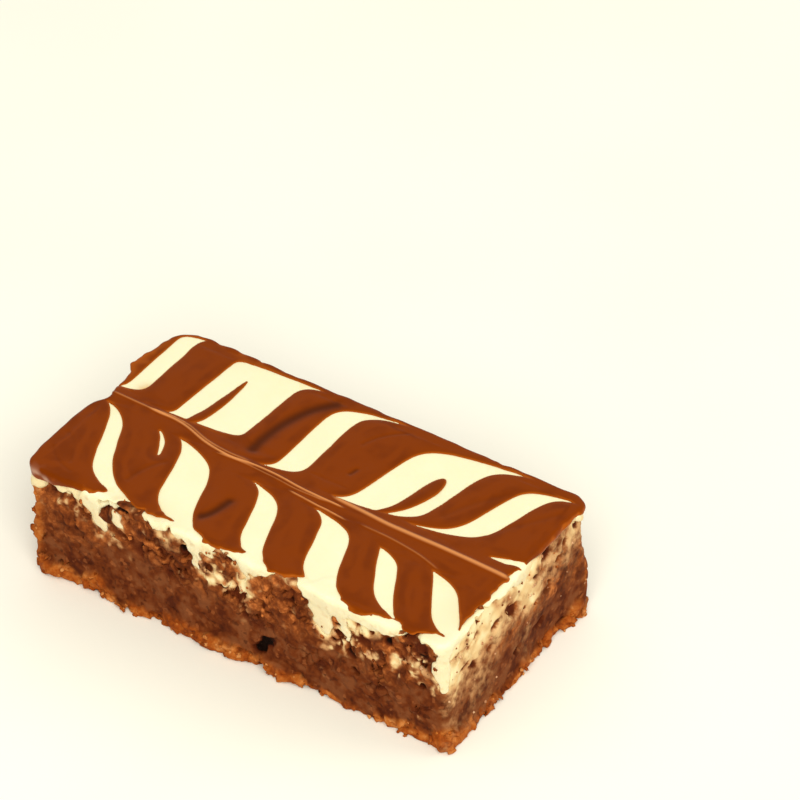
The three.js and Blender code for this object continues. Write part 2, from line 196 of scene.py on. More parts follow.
# Leaves of bare cream between the chocolate plumes, as in the solids: thin tip at the spine, the x of both
# flanks half way, their lean, the tail at the long edge, and the reach of the pull of tip and tail.
FRONT_MIDDLE = 10
BACK_MIDDLE = 29
CREAM_LEAVES = rows(
    "tip flanks lean tail reach",
    ((1.5, 18.3), (6.1, 8.8), -0.38, (21, 0.4), (1.3, 1.4, 2.6)),
    ((16, 17.3), (19.5, 26), -0.2, (32, 0.2), (1.9, 1.5, 2.2)),
    ((31.5, 15), (35, 39), -0.28, (44, 0), (1.2, 1.3, 2.2)),
    ((43, 15), (46.5, 52), -0.28, (59, -0.3), (1, 1.2, 2.2)),
    ((56, 13.1), (57.5, 61.2), -0.5, (68.3, 0.6), (0.9, 1.6, 1.3)),
    ((65.5, 13), (67.5, 72.2), -0.6, (79, 1), (1.1, 1.2, 2)),
    ((0.3, 22.3), (1.6, 4.7), 0, (5.5, 38.6), (0.6, 0.5, 0.9)),
    ((10.5, 21.3), (12, 24.1), 0.06, (27.6, 38.2), (0.45, 0.3, 0.8)),
    ((30, 19), (32.1, 36.5), 0, (43.4, 38.4), (0.8, 1.2, 1.2)),
    ((43.5, 18.9), (47.6, 58.8), 0.18, (66.2, 38.4), (1.1, 1.4, 1.3)),
    ((57, 20), (65.3, 69.6), 0.26, (74.2, 37.2), (1.35, 1, 1)),
)

# Single strokes, as in the solids: slivers of chocolate in the cream, and of cream in the chocolate.
CHOCOLATE_STROKES = rows(
    "from via to width peak",
    ((14, 21), (16.6, 21.5), (16.8, 34.2), 1.9, 0.35),
    ((50.5, 19.4), (54.6, 21.5), (55.5, 31.2), 2.8, 0.8),
)
CREAM_STROKES = rows(
    "from via to width peak",
    ((12.3, 17), (14.4, 15.6), (15.5, 12.2), 0.75, 0.5),
    ((71, 20.2), (74, 20.6), (78, 21.8), 1.5, 0.95),
)
STROKE_SWELL = 0.6
CURVE_SAMPLES = 60

# The front end of each chocolate plume: its lower left end at the front edge, its point, and how far the
# opening to its right reaches.
PLUME_ENDS = rows(
    "left point open",
    ((8, -1.2), (13.8, 0.9), (17.5, 1.2)),
    ((20.6, -0.3), (26.5, 1.3), (30, 0.9)),
    ((32.6, -0.5), (39.4, 1.1), (42.5, 0.8)),
    ((44.6, -0.6), (50, 1.1), (55.4, 0.9)),
    ((60.2, -0.5), (65.8, 0.7), (67.6, 1.2)),
    ((69.4, -0.8), (73, 1.5), (78, 2)),
)
PLUME_STEP = 0.4
PLUME_ROUNDING = {"left": 2.2, "point": 0.3}

# The x at which the chocolate stops at the right end, at each y.
END_BORDER = {"y": (0, 19, 23, 38), "x": (75.9, 75.9, 76.7, 76.9)}

# Fine ridges that the skewer left along the spine, with the half width and height of each. Their tops are
# also painted paler, as a painted highlight.
RIDGES = rows(
    "route half rise",
    (((0, 20.5), (6, 20.4), (12, 20.2)), 0.2, 0.18),
    (((8, 20.3), (14, 20.1), (20, 18.4), (24, 17.7), (31, 18.1), (40, 17.4), (47, 17.3)), 0.2, 0.28),
    (((9, 20.8), (15, 20.4), (20, 18.9), (24, 18.3), (29, 18.4)), 0.16, 0.2),
    (((22, 17.2), (28, 17.5), (33, 17.3), (38, 16.9), (44, 17)), 0.16, 0.16),
    (((36.6, 16.2), (41, 15.7), (45, 15.5), (49, 15.1)), 0.18, 0.24),
    (((43, 18.7), (49, 18.3), (54, 17.9), (64, 17.8), (77, 17.5)), 0.45, 0.24),
    (((50, 15.6), (57, 15.3), (62, 14.6), (67, 13.2)), 0.22, 0.14),
)

# Dents in the plumes, each along a curve that bends towards a point. Their depth also sets painted shade in
# them.
DENTS = rows(
    "from via to width depth",
    ((26.9, 21.2), (26.8, 31.5), (31.8, 36.6), 1.2, 0.2),
    ((29.4, 4.4), (30.6, 5.8), (31, 9.2), 0.9, 0.2),
    ((42.8, 24.4), (43, 25), (43.1, 25.6), 0.45, 0.14),
    ((15, 5), (15.2, 8.5), (17.4, 11.4), 0.5, 0.07),
    ((1, 5), (2.6, 2.6), (6.5, 1.8), 0.35, 0.06),
    ((0.6, 9), (3.6, 8), (5.2, 3.6), 0.4, 0.05),
    ((40.6, 31), (41.6, 34.6), (45, 36.8), 0.4, 0.07),
    ((68, 24.5), (71.5, 29), (74.6, 33.5), 0.6, 0.05),
    ((60.2, 24), (62, 29), (66, 33.5), 0.7, 0.06),
)

# The coat of chocolate: its thickness at the edge of a plume, how much more it has inside and over which
# distance, its least thickness, and how far it goes below the icing's skin.
COAT = {"edge": 0.1, "more": 0.2, "over": 0.9, "least": 0.07, "below": 0.6}

# Chocolate that runs over the front left corner and the back of the right end, down the side.
DRAPES = rows(
    "at reach drop",
    ((1, 0), 6.5, 1.6),
    ((76.2, 31), 7, 0.6),
)

# Painted highlights on the chocolate: pale patches near its front left corner.
PAINTED_HIGHLIGHTS = rows(
    "at reach tall",
    ((1.4, -0.4, 20.8), 1.1, 0.7),
    ((3.6, -0.6, 20.4), 0.8, 0.5),
)

# Corners and step of each grid, the most triangles that each piece may have, and how they are thinned.
LAYER_GRID = ((-41, -22, -1), (41, 22, 23), 0.25)
CHOCOLATE_GRID = ((-41, -22, 18), (41, 22, 23.4), 0.17)
TRIANGLES = {"cake": 195000, "cream": 150000, "chocolate": 190000}
SHOWN_THINNING = 0.15
COVERED_DEPTH = 0.4
FINE_RELIEF = 0.02

# Clumps that the crumb is packed from: their size, how crooked they are, and how near the sides they are.
CLUMPS = {"size": 2.1, "crooked": 0.3, "band": 3}

# Height of the browned rim along the front: x and z.
RIM_HEIGHTS = [
    (0, 3), (6, 3.4), (8, 2.2), (10, 3.6), (12.5, 3.8), (14, 2.4), (16, 1.2), (22, 1.8), (29, 3),
    (35, 2.2), (39, 2.4), (45, 2.8), (50, 1.6), (60, 0.9), (65, 1.6), (70, 2.2), (76.2, 2.6),
]

# Lumps of browned crumb at the foot and the corners: across on plan, up the side and out of it.
BROWNED_LUMPS = rows(
    "at reach tall depth",
    ((0.9, 0.1, 17.4), 1.3, 1.3, 0.35),
    ((0.6, 0.2, 11), 0.9, 2.5, 0.25),
    ((11.6, 0, 3.2), 1.6, 1.4, 0.7),
    ((2, 0, 2.2), 2.4, 1.4, 0.4),
    ((44.5, 0, 1.6), 1.5, 1, 0.6),
    ((39, 0, 1.2), 1, 0.8, 0.6),
    ((76.2, 12, 1.4), 1.6, 1, 0.5),
    ((76.2, 21.5, 0.8), 2.6, 1.2, 0.5),
    ((76.2, 28, 0.8), 3, 1.4, 1),
    ((76.2, 35, 2.4), 2, 2, 0.5),
    ((75.8, 0.4, 2.4), 2.6, 2.4, 0.4),
    ((76, 37.6, 7), 1.5, 4.5, 0.4),
    ((20, 38.1, 1.4), 1.4, 1, 0.5),
    ((0, 24, 1.8), 1.6, 1.2, 0.5),
)

# Loose crumbs and bits of cream on the sides: how many lie on which piece, by which of its values they are
# spread, their least and greatest radius, their range of shades, and whether they are browned or of cream.
CRUMBS = rows(
    "on many by radius shades kind seed",
    ("cake", 300, "rim", (0.2, 0.55), (0.3, 1), "rim", 61),
    ("cake", 130, "crumbly", (0.15, 0.42), (0.3, 0.9), "crumb", 62),
    ("cake", 120, "film", (0.12, 0.34), (0, 0.6), "cream", 63),
    ("cream", 70, "dirt", (0.16, 0.45), (0.4, 1), "crumb", 64),
)
CRUMB_BAND = 2.5
CRUMB_SHAPE = {"lumpy": 0.22, "stretch": (0.6, 1.1), "lowest": 0.02}
MORE_SMALL_CRUMBS = 2.5

# The camera that fits the photograph: 800 pixels across, focal length in pixels, angles in degrees.
IMAGE_PIXELS = 800
FOCAL_PIXELS = 5000
SENSOR_MM = 36.0
CAMERA = {"azimuth": 34.961, "elevation": 40.163, "roll": -1.489}
CAMERA_PLACE = {"distance": 773.4, "right": 14.02, "up": 29.06}


# Noise and distances

NOISE_LOW = np.array((-44.0, -25.0, -4.0))
NOISE_HIGH = np.array((44.0, 25.0, 26.0))
NOISE_GAIN = 3.0
NOISE_LIMIT = 2.2
FEATURE_MARGIN = 1.0
TONGUE_MARGIN = 3.0
ROUTE_OUT = 0.5
ROUTE_IN = 2
FAR = 1e3


def spline_weights(places, low, size, count):
    """How much each of count lattice points, size apart from low, adds at each place: a cubic spline."""
    steps = np.abs((places[:, None] - low)/size + 1 - np.arange(count)[None, :])
    near = 2/3 - steps**2 + steps**3/2
    far = np.maximum(2 - steps, 0)**3/6
    return np.where(steps < 1, near, far).astype(np.float32)


def grid_noise(axes, size, seed):
    """Seeded smooth noise of one grain on a grid, about 0 with a spread near 1 and a soft limit."""
    counts = np.ceil((NOISE_HIGH - NOISE_LOW)/size).astype(int) + 4
    values = np.random.default_rng(seed).standard_normal(counts).astype(np.float32)
    for axis in range(3):
        weights = spline_weights(axes[axis], NOISE_LOW[axis], size, counts[axis])
        values = np.moveaxis(np.tensordot(weights, values, (1, axis)), 0, axis)
    return NOISE_LIMIT*np.tanh(NOISE_GAIN/NOISE_LIMIT*values)


def plan_noise(axes, size, seed):
    """The same noise on plan only, with one layer in z."""
    return grid_noise((axes[0], axes[1], np.zeros(1)), size, seed)


def smooth_step(low, high, value):
    share = np.clip((value - low)/(high - low), 0, 1)
    return share*share*(3 - 2*share)


def smooth_max(a, b, reach):
    """The larger of two distances, rounded over where they are within reach of each other."""
    share = np.maximum(reach - np.abs(a - b), 0)/reach
    return np.maximum(a, b) + share*share*reach/4


def smooth_min(a, b, reach):
    return -smooth_max(-a, -b, reach)


def on_bar(place):
    """A place measured from the front left corner, in the bar's own frame."""
    return np.array((place[0] - LENGTH/2, place[1] - WIDTH/2, *place[2:]))


def outline_distance(x, y):
    """Distance from the cut outline on plan, below 0 inside."""
    r = CORNER_RADII
    front = np.where(x > 0, r["front_right"], r["front_left"])
    back = np.where(x > 0, r["back_right"], r["back_left"])
    radius = np.where(y > 0, back, front)
    over_x = np.abs(x) - LENGTH/2 + radius
    over_y = np.abs(y) - WIDTH/2 + radius
    corner = np.hypot(np.maximum(over_x, 0), np.maximum(over_y, 0))
    return corner + np.minimum(np.maximum(over_x, over_y), 0) - radius


def back_share(y):
    """0 over most of the bar, and up to 1 at its back."""
    return smooth_step(WIDTH/2 - 4, WIDTH/2, y)


def plan_bump(x, y, feature):
    """1 at the middle of a feature, fading to 0 around it on plan."""
    middle = on_bar(feature["at"])
    return np.exp(-((x - middle[0])**2 + (y - middle[1])**2)/feature["reach"]**2)


def bump(x, y, z, feature):
    """1 at the middle of a pit or film, fading to 0 around it."""
    return plan_bump(x, y, feature)*np.exp(-((z - on_bar(feature["at"])[2])/feature["tall"])**2)


def tapered_line(x, y, z, start, end, thick):
    """Distance from a straight line whose thickness changes from one end to the other."""
    start, end = on_bar(start), on_bar(end)
    along = end - start
    x, y, z = (place - low for place, low in zip((x, y, z), start))
    share = np.clip((x*along[0] + y*along[1] + z*along[2])/(along @ along), 0, 1)
    gap = np.sqrt((x - share*along[0])**2 + (y - share*along[1])**2 + (z - share*along[2])**2)
    return gap - (thick[0] + (thick[1] - thick[0])*share)


def smooth_route(points, x):
    """The y of a smooth route at given x, through points in order of x, and how far x is within its ends."""
    px, py = (np.array(c, float) for c in zip(*points))
    slopes = np.gradient(py, px)
    index = np.clip(np.searchsorted(px, x) - 1, 0, len(px) - 2)
    span = px[index + 1] - px[index]
    t = np.clip((x - px[index])/span, 0, 1)
    rise = py[index + 1] - py[index]
    curve = py[index] + rise*(3*t**2 - 2*t**3) + span*(
        slopes[index]*(t**3 - 2*t**2 + t) + slopes[index + 1]*(t**3 - t**2))
    start = smooth_step(px[0] - ROUTE_OUT, px[0] + ROUTE_IN, x)
    end = smooth_step(px[-1] - ROUTE_IN, px[-1] + ROUTE_OUT, x)
    return curve, start*(1 - end)


# The solids as distance fields on a grid

def grid_axes(low, high, step):
    return tuple(np.arange(a, b, step) for a, b in zip(low, high))


def spread(axes):
    """The three axes as arrays that broadcast over the grid."""
    return axes[0][:, None, None], axes[1][None, :, None], axes[2][None, None, :]


def near_part(axes, low, high):
    """The part of a grid between two corners measured on the bar, and the axes of that part."""
    corners = zip(on_bar(low), on_bar(high))
    part = tuple(slice(*np.searchsorted(axis, ends)) for axis, ends in zip(axes, corners))
    return part, tuple(axis[cut] for axis, cut in zip(axes, part))


def feature_part(axes, feature):
    """The part of a grid that a pit, lump or film can reach, and the axes of that part."""
    middle = np.array(feature["at"])
    margin = FEATURE_MARGIN + 3*max(feature["reach"], feature["tall"])
    return near_part(axes, middle - margin, middle + margin)


def summed_bumps(axes, features, key):
    """Lumps or films added up on a grid, each with its own strength."""
    total = np.zeros([len(axis) for axis in axes], np.float32)
    for feature in features:
        part, axes_there = feature_part(axes, feature)
        total[part] += feature[key]*bump(*spread(axes_there), feature)
    return total


def interface_height(axes):
    """Height on plan of the cake's top, which is the icing's underside."""
    x, y, _ = spread(axes)
    height = CAKE_HEIGHT + 0.35*plan_noise(axes, 7, 11)
    for feature in EDGE_FEATURES:
        height = height + feature["rise"]*plan_bump(x, y, feature)
    return np.minimum(height, CREAM_TOP - EDGE_CLEARANCE)


def clumps(axes, size, seed):
    """Packed clumps near the sides: how far a place is inside its clump, and three draws for each clump."""
    x, y, z = spread(axes)
    shape = np.broadcast(x, y, z).shape
    near = np.broadcast_to(np.abs(outline_distance(x, y)) < CLUMPS["band"], shape)
    crooked = [CLUMPS["crooked"]*size*grid_noise(axes, 0.6*size, seed + axis) for axis in range(3)]
    straight = [np.broadcast_to(place, shape)[near] for place in (x, y, z)]
    places = np.stack([place + shift[near] for place, shift in zip(straight, crooked)], 1)
    counts = np.ceil((NOISE_HIGH - NOISE_LOW)/size).astype(int) + 6
    draws = np.random.default_rng(seed)
    middles = draws.random((counts.prod(), 3))
    kinds = draws.random((counts.prod(), 3))
    places = (places - NOISE_LOW)/size + 2
    cells = np.floor(places).astype(int)
    nearest = np.full(len(places), FAR)
    second = nearest.copy()
    owner = np.zeros(len(places), int)
    for offset in np.ndindex(3, 3, 3):
        cell = cells + np.array(offset) - 1
        index = np.ravel_multi_index(cell.T, counts)
        gap = np.linalg.norm(places - cell - middles[index], axis=1)
        closer = gap < nearest
        second = np.where(closer, nearest, np.minimum(second, gap))
        owner = np.where(closer, index, owner)
        nearest = np.minimum(nearest, gap)
    inside = np.ones(shape, np.float32)
    inside[near] = second - nearest
    each = np.full(shape + (3,), 0.5, np.float32)
    each[near] = kinds[owner]
    return inside, each


def cake_field(axes, cream):
    """The cake: crumb above a dense fudgy zone, a browned ragged rim at the foot, pits and cracks."""
    x, y, z = spread(axes)
    along, across = x + LENGTH/2, y + WIDTH/2
    broad = grid_noise(axes, 6.0, 21)
    crumbs = np.abs(grid_noise(axes, 1.1, 23)) - 0.8
    grit = grid_noise(axes, 0.6, 24)
    pores = grid_noise(axes, 1.3, 25)
    small_pores = grid_noise(axes, 1.0, 38)
    inside, each = clumps(axes, CLUMPS["size"], 71)
    cracked = smooth_step(-0.2, 0.9, grid_noise(axes, 2.6, 26))
    gaps = cracked*(1 - smooth_step(0.0, 0.3, inside))
    stand = each[..., 0] - 0.5
    clean_cut = smooth_step(-4.0, -1.0, x - LENGTH/2)
    front = smooth_step(12, 2, across)
    crumb_low = 9.0 - 5.0*smooth_step(34, 46, along)*front
    crumbly = smooth_step(0.0, 4.5, z - crumb_low + 1.4*broad)
    paler = smooth_step(9.0, 15.0, z + 1.4*broad)*np.ones_like(x)
    rim_top = 1.4 + 0.8*plan_noise(axes, 5.0, 27)
    rim_top = rim_top + front*(np.interp(along, *zip(*RIM_HEIGHTS)) - rim_top)
    rim = 1 - smooth_step(-0.5, 0.6, z - rim_top - 1.4*stand + 0.3*grit)
    browned = summed_bumps(axes, BROWNED_LUMPS, "depth")
    crust = 0.9*smooth_step(2.0, 0.8, along - 1.4*stand)
    rim = np.maximum(np.maximum(rim, crust), smooth_step(0.12, 0.3, browned))
    rough = np.maximum((0.3 + 0.7*crumbly)*(1 - 0.65*clean_cut), 1.1*rim)
    relief = 0.2*broad + rough*(0.5*stand - 0.7*gaps + 0.28*crumbs + 0.12*grit)
    open_pores = np.maximum(pores - 1.7 + 0.5*crumbly, 0) + 2.5*np.maximum(small_pores - 1.7, 0)
    relief = relief - open_pores*(1 - 0.7*clean_cut)
    scallops = plan_noise(axes, 2.4, 39)
    relief = relief + rim*np.maximum(0.3 + 0.25*broad + 0.4*stand + 0.25*scallops, 0) + browned
    wx, wy, wz = (place + 0.35*grid_noise(axes, 1.2, seed) for place, seed in ((x, 28), (y, 29), (z, 30)))
    # Painted shade: shade is extra darkness for the pits. It is taken off the relief value that colours the
    # cake, not off its shape.
    shade = np.zeros_like(relief)
    for pit in PITS:
        part, _ = feature_part(axes, pit)
        sunk = pit["depth"]*smooth_step(0.15, 0.75, bump(wx[part], wy[part], wz[part], pit))
        relief[part] -= sunk
        shade[part] += 0.25*pit["depth"]*sunk
    behind = 0.5*smooth_step(0.4, -0.3, cream)
    side = outline_distance(x, y) - CAKE_BACK_OUT*back_share(y) - relief + behind
    top = z - np.minimum(interface_height(axes) + 0.7, CREAM_TOP - EDGE_CLEARANCE)
    foot = 0.1 + 0.04*grit - z
    field = smooth_max(smooth_max(side, top, 0.5), foot, 0.5)
    return field, {"relief": relief - shade, "rim": rim, "crumbly": paler, "clump": each[..., 1]}


def icing_side(axes):
    """Distance from the icing's sides."""
    x, y, _ = spread(axes)
    out = ICING_OUT + ICING_BACK_OUT*back_share(y)
    for bulge in ICING_BULGES:
        out = out + bulge["out"]*plan_bump(x, y, bulge)
    uneven = smooth_step(WIDTH/2 - 1, WIDTH/2 - 6, y)
    broken = BROKEN_EDGE["depth"]*plan_bump(x, y, BROKEN_EDGE)
    wave = 0.16*grid_noise(axes, 4.0, 31)*uneven
    chips = (0.02 + 0.04*uneven)*grid_noise(axes, 1.2, 32) + broken*grid_noise(axes, 0.8, 36)
    return outline_distance(x, y) - out - wave - chips


def icing_skin(axes):
    """Distance from the icing's outer skin: bulging sides and a level top, with a rounded edge between."""
    top = spread(axes)[2] - CREAM_TOP - 0.05*plan_noise(axes, 9, 33)
    return smooth_max(icing_side(axes), top, 0.8)


def cream_field(axes):
    """The cream: it fills the uneven top of the cake, and tongues of it hang down the sides."""
    x, y, z = spread(axes)
    skin = icing_skin(axes)
    clean_cut = smooth_step(-2.5, -0.5, x - LENGTH/2)
    ragged = (0.5*grid_noise(axes, 1.4, 34) + 0.36*grid_noise(axes, 0.65, 35))*(1 - 0.6*clean_cut)
    highest = CREAM_TOP - LEAST_CREAM*smooth_step(-0.6, -1.8, outline_distance(x, y))
    under = np.minimum(interface_height(axes) + ragged, highest) - z
    sunk = 0.3*smooth_step(0.15, 0.5, -swirl_distance(axes))*smooth_step(-1.2, -0.8, skin)
    dragged = 0.09*grid_noise(axes, 0.8, 37)*smooth_step(CREAM_TOP - 0.3, CREAM_TOP - 1.0, z)
    field = smooth_max(skin + sunk + dragged, under, 0.5)
    for tongue in CREAM_TONGUES:
        ends = np.array((tongue["top"], tongue["foot"]))
        margin = max(tongue["thick"]) + TONGUE_MARGIN
        part, axes_there = near_part(axes, ends.min(0) - margin, ends.max(0) + margin)
        line = tapered_line(*spread(axes_there), *ends, tongue["thick"]) + 0.8*ragged[part]
        field[part] = smooth_min(field[part], smooth_max(line, skin[part] + 0.08, 0.4), 0.5)
    for hole in CREAM_HOLES:
        middle = np.array(hole["at"])
        part, axes_there = near_part(axes, middle - 2*hole["reach"], middle + 2*hole["reach"])
        gap = np.sqrt(sum((axis - m)**2 for axis, m in zip(spread(axes_there), on_bar(middle))))
        field[part] = smooth_max(field[part], hole["reach"] - gap + 0.5*ragged[part], 0.3)
    return field


def flank(leaf, side, y):
    """The x of a cream leaf's left or right flank at each y, and its slope."""
    (tip_x, tip_y), (tail_x, tail_y) = leaf["tip"], leaf["tail"]
    middle = FRONT_MIDDLE if tail_y < tip_y else BACK_MIDDLE
    body = leaf["flanks"][side]
    lean = leaf["lean"]
    tip_reach, tail_reach = leaf["reach"][0], leaf["reach"][1 + side]
    tip_pull = (tip_x - body - lean*(tip_y - middle))*np.exp(-np.abs(y - tip_y)/tip_reach)
    tail_pull = (tail_x - body - lean*(tail_y - middle))*np.exp(-np.abs(y - tail_y)/tail_reach)
    slope = lean - np.sign(y - tip_y)*tip_pull/tip_reach - np.sign(y - tail_y)*tail_pull/tail_reach
    return body + lean*(y - middle) + tip_pull + tail_pull, slope


def leaf_distance(leaf, x, y):
    """Distance from a cream leaf on plan, below 0 inside it."""
    left, left_slope = flank(leaf, 0, y)
    right, right_slope = flank(leaf, 1, y)
    sides = np.maximum((left - x)/np.hypot(1, left_slope), (x - right)/np.hypot(1, right_slope))
    low, high = sorted((leaf["tip"][1], leaf["tail"][1]))
    return np.maximum(sides, np.maximum(low - y, y - high))


def plan_places(axes):
    """The x and y of a grid on plan, measured on the bar."""
    return (axes[0] + LENGTH/2)[:, None], (axes[1] + WIDTH/2)[None, :]


def curve_gaps(curve, x, y):
    """Distances on plan from points along a curve that bends towards a point, and the share of each point."""
    start, via, end = (np.array(curve[key], float) for key in ("from", "via", "to"))
    for share in np.linspace(0, 1, CURVE_SAMPLES):
        point = (1 - share)**2*start + 2*share*(1 - share)*via + share**2*end
        yield share, np.hypot(x - point[0], y - point[1])


def stroke_distance(stroke, x, y):
    """Distance from a single stroke on plan, which swells to its peak and rounds off."""
    nearest = FAR
    for share, gap in curve_gaps(stroke, x, y):
        past = (share - stroke["peak"])/(1 - stroke["peak"])
        swell = (share/stroke["peak"])**STROKE_SWELL if past < 0 else math.sqrt(max(1 - past*past, 0))
        nearest = np.minimum(nearest, gap - swell*stroke["width"]/2)
    return nearest


def swirl_distance(axes):
    """Distance on plan from the chocolate's edge against the cream, below 0 in the chocolate."""
    x, y = plan_places(axes)
    cream = FAR
    for leaf in CREAM_LEAVES:
        cream = np.minimum(cream, leaf_distance(leaf, x, y))
    for stroke in CREAM_STROKES:
        cream = np.minimum(cream, stroke_distance(stroke, x, y))
    edge = -cream
    for stroke in CHOCOLATE_STROKES:
        edge = smooth_min(edge, stroke_distance(stroke, x, y), 0.3)
    border, rounding = front_border(x)
    edge = smooth_max(edge, border - y, rounding)
    return np.maximum(edge, x - np.interp(y, END_BORDER["y"], END_BORDER["x"]))[:, :, None]


def front_border(x):
    """The y at which the chocolate starts along the front, and how round its corners are.

    It goes up from each plume's left end to its point, and down through the opening to the next plume."""
    points = []
    rounding = []
    for plume in PLUME_ENDS:
        point = plume["point"]
        points += [plume["left"], point, (point[0] + PLUME_STEP, point[1] + PLUME_STEP), plume["open"]]
        rounding += [PLUME_ROUNDING["left"]] + 3*[PLUME_ROUNDING["point"]]
    at, height = np.array(points).T
    return np.interp(x, at, height), np.interp(x, at, rounding)


def spine_ridges(axes):
    """Height of the fine ridges along the spine."""
    x, y = plan_places(axes)
    height = 0
    for ridge in RIDGES:
        middle, inside = smooth_route(ridge["route"], x)
        across = (y - middle)/ridge["half"]
        height = height + ridge["rise"]*inside*np.exp(-across**2)
    return height[:, :, None]


def dents(axes):
    """Depth of the dents in the plumes."""
    x, y = plan_places(axes)
    depth = 0
    for dent in DENTS:
        gap = np.minimum.reduce([gap for _, gap in curve_gaps(dent, x, y)])
        depth = depth + dent["depth"]*np.exp(-(gap/dent["width"])**2)
    return depth[:, :, None]


def chocolate_field(axes):
    """The chocolate: a thin coat on the icing's skin, thinner at the edge of each plume."""
    x, y, z = spread(axes)
    skin = icing_skin(axes)
    rough = grid_noise(axes, 1.1, 42)
    border_zone = np.maximum(1 - smooth_step(1.0, 3.0, y + WIDTH/2), smooth_step(-3.0, -1.0, x - LENGTH/2))
    edge = swirl_distance(axes) + 0.03*plan_noise(axes, 1.3, 41)
    edge = edge + border_zone*(0.2*rough + 0.12*grid_noise(axes, 0.55, 44))
    limit = CREAM_TOP - 0.4 + 0.16*rough - sum(drape["drop"]*plan_bump(x, y, drape) for drape in DRAPES)
    limit = limit - 2*smooth_step(-0.8, -2.0, outline_distance(x, y))
    border = np.maximum(edge, limit - z)
    ridges = spine_ridges(axes)
    dent = dents(axes)
    thick = COAT["edge"] + COAT["more"]*(1 - np.exp(np.minimum(border, 0)/COAT["over"])) + ridges - dent
    thick = np.maximum(thick + 0.02*plan_noise(axes, 2.0, 43), COAT["least"])
    field = smooth_max(smooth_max(skin - thick, edge, 0.12), limit - z, 0.2)
    field = np.maximum(field, -COAT["below"] - skin)
    flat = np.ones_like(z)
    # Painted highlight: pale patches on the chocolate near its front left corner.
    painted_highlight = sum(bump(x, y, z, place) for place in PAINTED_HIGHLIGHTS)*smooth_step(-0.2, 0.6, grid_noise(axes, 0.6, 45))
    worn = plan_bump(x, y, BROKEN_EDGE)*smooth_step(-2.0, -0.4, icing_side(axes))
    return field, {"edge": border*flat, "ridge": ridges*flat, "dent": dent*flat, "painted_highlight": painted_highlight, "worn": worn}


# From fields to meshes

CORNERS = [(i, j, k) for i in (0, 1) for j in (0, 1) for k in (0, 1)]
CELL_EDGES = [(a, b) for a in range(8) for b in range(a + 1, 8)
              if sum(p != q for p, q in zip(CORNERS[a], CORNERS[b])) == 1]


def surface_net(field, axes):
    """Points and quads of the closed surface where the field is 0, with one point in each crossed cell."""
    inside = field < 0
    nx, ny, nz = (n - 1 for n in field.shape)
    held = sum(inside[i:i + nx, j:j + ny, k:k + nz].astype(np.int8) for i, j, k in CORNERS)
    crossed = (held > 0) & (held < 8)
    cells = np.argwhere(crossed)
    number = np.full(crossed.shape, -1, np.int64)
    number[crossed] = np.arange(len(cells))
    values = [field[tuple((cells + corner).T)] for corner in CORNERS]
    total = np.zeros((len(cells), 3))
    count = np.zeros(len(cells))
    for a, b in CELL_EDGES:
        cuts = (values[a] < 0) != (values[b] < 0)
        share = np.where(cuts, values[a]/np.where(cuts, values[a] - values[b], 1), 0)
        start, end = np.array(CORNERS[a]), np.array(CORNERS[b])
        total += cuts[:, None]*(start + share[:, None]*(end - start))
        count += cuts
    step = np.array([axis[1] - axis[0] for axis in axes])
    low = np.array([axis[0] for axis in axes])
    points = low + (cells + total/count[:, None])*step
    quads = [net_quads(inside, number, axis) for axis in range(3)]
    return points, np.concatenate(quads)


def net_quads(inside, number, axis):
    """The quads round the grid lines along one axis that the surface crosses, facing out."""
    u, v = np.eye(3, dtype=int)[[(axis + 1) % 3, (axis + 2) % 3]]
    first = np.take(inside, np.arange(inside.shape[axis] - 1), axis)
    second = np.take(inside, np.arange(1, inside.shape[axis]), axis)
    spots = np.argwhere(first != second)
    ring = [spots - u - v, spots - v, spots, spots - u]
    quads = np.stack([number[tuple(cells.T)] for cells in ring], 1)
    leaving = first[tuple(spots.T)]
    return np.where(leaving[:, None], quads, quads[:, ::-1])


def largest_island(points, quads):
    """Only the largest connected part of a mesh."""
    label = np.arange(len(points))
    while True:
        lowest = label[quads].min(1)
        new = label.copy()
        np.minimum.at(new, quads, lowest[:, None])
        new = new[new]
        if (new == label).all():
            break
        label = new
    keep = label == np.bincount(label).argmax()
    number = np.cumsum(keep) - 1
    return points[keep], number[quads[keep[quads[:, 0]]]]


def new_object(name, data):
    """A new object in the scene."""
    made = bpy.data.objects.new(name, data)
    bpy.context.scene.collection.objects.link(made)
    return made


def mesh_object(name, points, faces):
    """A smooth mesh object from points in millimetres and faces with the same number of corners."""
    mesh = bpy.data.meshes.new(name)
    mesh.vertices.add(len(points))
    mesh.vertices.foreach_set("co", (points*MM).astype(np.float32).ravel())
    mesh.loops.add(faces.size)
    mesh.loops.foreach_set("vertex_index", faces.astype(np.int32).ravel())
    mesh.polygons.add(len(faces))
    mesh.polygons.foreach_set("loop_start", np.arange(0, faces.size, faces.shape[1], dtype=np.int32))
    mesh.polygons.foreach_set("use_smooth", np.ones(len(faces), bool))
    mesh.update(calc_edges=True)
    mesh.validate()
    return new_object(name, mesh)


def thinned(piece, triangles, weights):
    """The piece's mesh with no more than so many triangles, thinned first where its points weigh most."""
    now = 2*len(piece.data.polygons)
    if now > triangles:
        group = piece.vertex_groups.new(name="thin")
        for weight in np.unique(weights):
            group.add(np.flatnonzero(weights == weight).tolist(), float(weight), "REPLACE")
        decimate = piece.modifiers.new("thin", "DECIMATE")
        decimate.ratio = triangles/now
        decimate.vertex_group = group.name
        decimate.use_collapse_triangulate = True
        mesh = bpy.data.meshes.new_from_object(piece.evaluated_get(bpy.context.evaluated_depsgraph_get()))
        piece.modifiers.remove(decimate)
        piece.vertex_groups.clear()
        piece.data = mesh
        mesh.polygons.foreach_set("use_smooth", np.ones(len(mesh.polygons), bool))
    return piece


